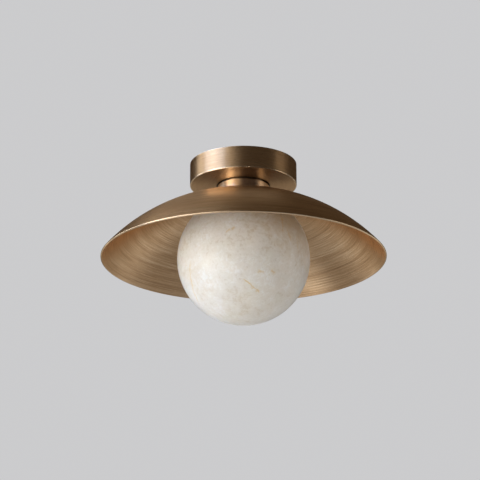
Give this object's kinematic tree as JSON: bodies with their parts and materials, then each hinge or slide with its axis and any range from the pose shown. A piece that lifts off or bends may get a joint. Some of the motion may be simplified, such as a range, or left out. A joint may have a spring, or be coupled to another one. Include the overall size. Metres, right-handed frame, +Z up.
{
  "type": "flush mount ceiling light",
  "caption": "Flush ceiling light: a satin brass canopy and collar hold a shallow spun brass shade over a hollow alabaster globe that screws onto a holder round a plug-in bulb.",
  "frame": {"origin": "centre of the ceiling bracket's top face, on the ceiling plane and on the light's axis", "axes": "+Z up into the ceiling along the light's axis, +X along the ceiling bracket towards the terminal block, -Y towards the viewer of the picture"},
  "size_m": [0.3226, 0.3226, 0.1885],
  "materials": {
    "satin_brass": "brushed satin, lacquered",
    "plain_brass": "turned",
    "alabaster": "honed, cloudy with fine ochre veins",
    "zinc_steel": "zinc plated",
    "silicone": "matt",
    "white_ceramic": "glazed",
    "white_plastic": "moulded",
    "spring_bronze": "plain",
    "frosted_glass": "frosted",
    "chip_ceramic": "matt",
    "brown_sheath": "smooth",
    "blue_sheath": "smooth",
    "green_sheath": "smooth"
  },
  "bodies": {
    "fixed_light": {"canopy": "satin_brass", "collar": "satin_brass", "shade": "satin_brass", "globe_holder": "plain_brass", "threaded_tube": "zinc_steel", "tube_nuts": "zinc_steel", "lock_washer": "zinc_steel", "tube_bushes": "white_plastic", "ceiling_bracket": "zinc_steel", "side_screws": "zinc_steel", "earth_lug": "zinc_steel", "earth_screw": "spring_bronze", "terminal_block": "white_plastic", "terminal_inserts": "spring_bronze", "clamp_screws": "zinc_steel", "block_screws": "zinc_steel", "socket_bracket": "zinc_steel", "lampholder": "white_ceramic", "lampholder_contacts": "spring_bronze", "socket_screws": "zinc_steel", "live_lead": "brown_sheath", "neutral_lead": "blue_sheath", "earth_lead": "green_sheath"},
    "bulb": {"bulb_base": "white_plastic", "bulb_pins": "zinc_steel", "bulb_core": "chip_ceramic", "bulb_cover": "frosted_glass"},
    "globe_lift": {"globe_gasket": "silicone"},
    "globe_turn": {"globe": "alabaster", "globe_ring": "plain_brass"}
  },
  "joints": [
    {"name": "bulb_pull", "type": "slide", "parent": "fixed_light", "child": "bulb", "axis": [0, 0, -1], "range_m": [0, 0.0125]},
    {"name": "globe_lower", "type": "slide", "parent": "fixed_light", "child": "globe_lift", "axis": [0, 0, -1], "range_m": [0, 0.012]},
    {"name": "globe_unscrew", "type": "hinge", "parent": "globe_lift", "child": "globe_turn", "pos_m": [0, 0, -0.0526], "axis": [0, 0, -1], "range_deg": [0, 1080]}
  ],
  "couplings": [
    {"joint": "globe_lower", "follows": "globe_unscrew", "m_per_rad": 0.00063661}
  ]
}
